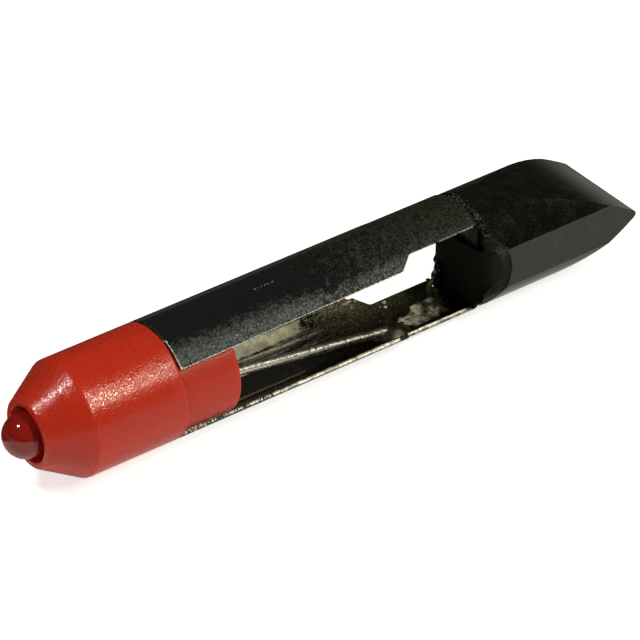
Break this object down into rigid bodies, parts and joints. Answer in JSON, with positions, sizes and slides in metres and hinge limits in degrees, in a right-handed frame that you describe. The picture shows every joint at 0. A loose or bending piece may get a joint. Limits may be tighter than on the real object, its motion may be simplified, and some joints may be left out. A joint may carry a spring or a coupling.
{
  "type": "slide-base led indicator lamp",
  "caption": "Slim indicator lamp: red cone-nosed cap with a small recessed LED, two arc contact strips top and bottom, and a black wedge tail.",
  "frame": {"origin": "on the lamp's axis, at the cap's shoulder where the contact strips begin", "axes": "+X from the LED to the wedge of the tail, +Z and -Z out of the two contact strips, +Y and -Y out of the tail's side flats"},
  "size_m": [0.0328, 0.0054, 0.0054],
  "materials": {
    "cap_plastic": "moulded red plastic with a fine satin grain",
    "led_epoxy": "clear-cast deep red epoxy, polished",
    "tinned_wire": "tinned, bright with fine drawing lines",
    "solder": "solder, bright and slightly uneven",
    "resistor_coat": "ceramic body with beige lacquer",
    "black_resin": "black epoxy, glossy and lumpy",
    "contact_plate": "nickel-plated spring strip, bright with a fine rolled grain and light tarnish",
    "tail_plastic": "black moulding plastic, satin, glossier on the wedge faces",
    "flux": "amber flux residue"
  },
  "bodies": {
    "root": {"cap_housing": "cap_plastic", "led_lens": "led_epoxy", "cathode_lead": "tinned_wire", "anode_lead": "tinned_wire", "splice_solder": "solder", "resistor_body": "resistor_coat", "resistor_wires": "tinned_wire", "cap_resin": "black_resin", "upper_contact": "contact_plate", "lower_contact": "contact_plate", "upper_solder": "solder", "lower_solder": "solder", "tail_insulator": "tail_plastic", "tail_resin": "black_resin", "flux_bead": "flux"}
  },
  "joints": []
}
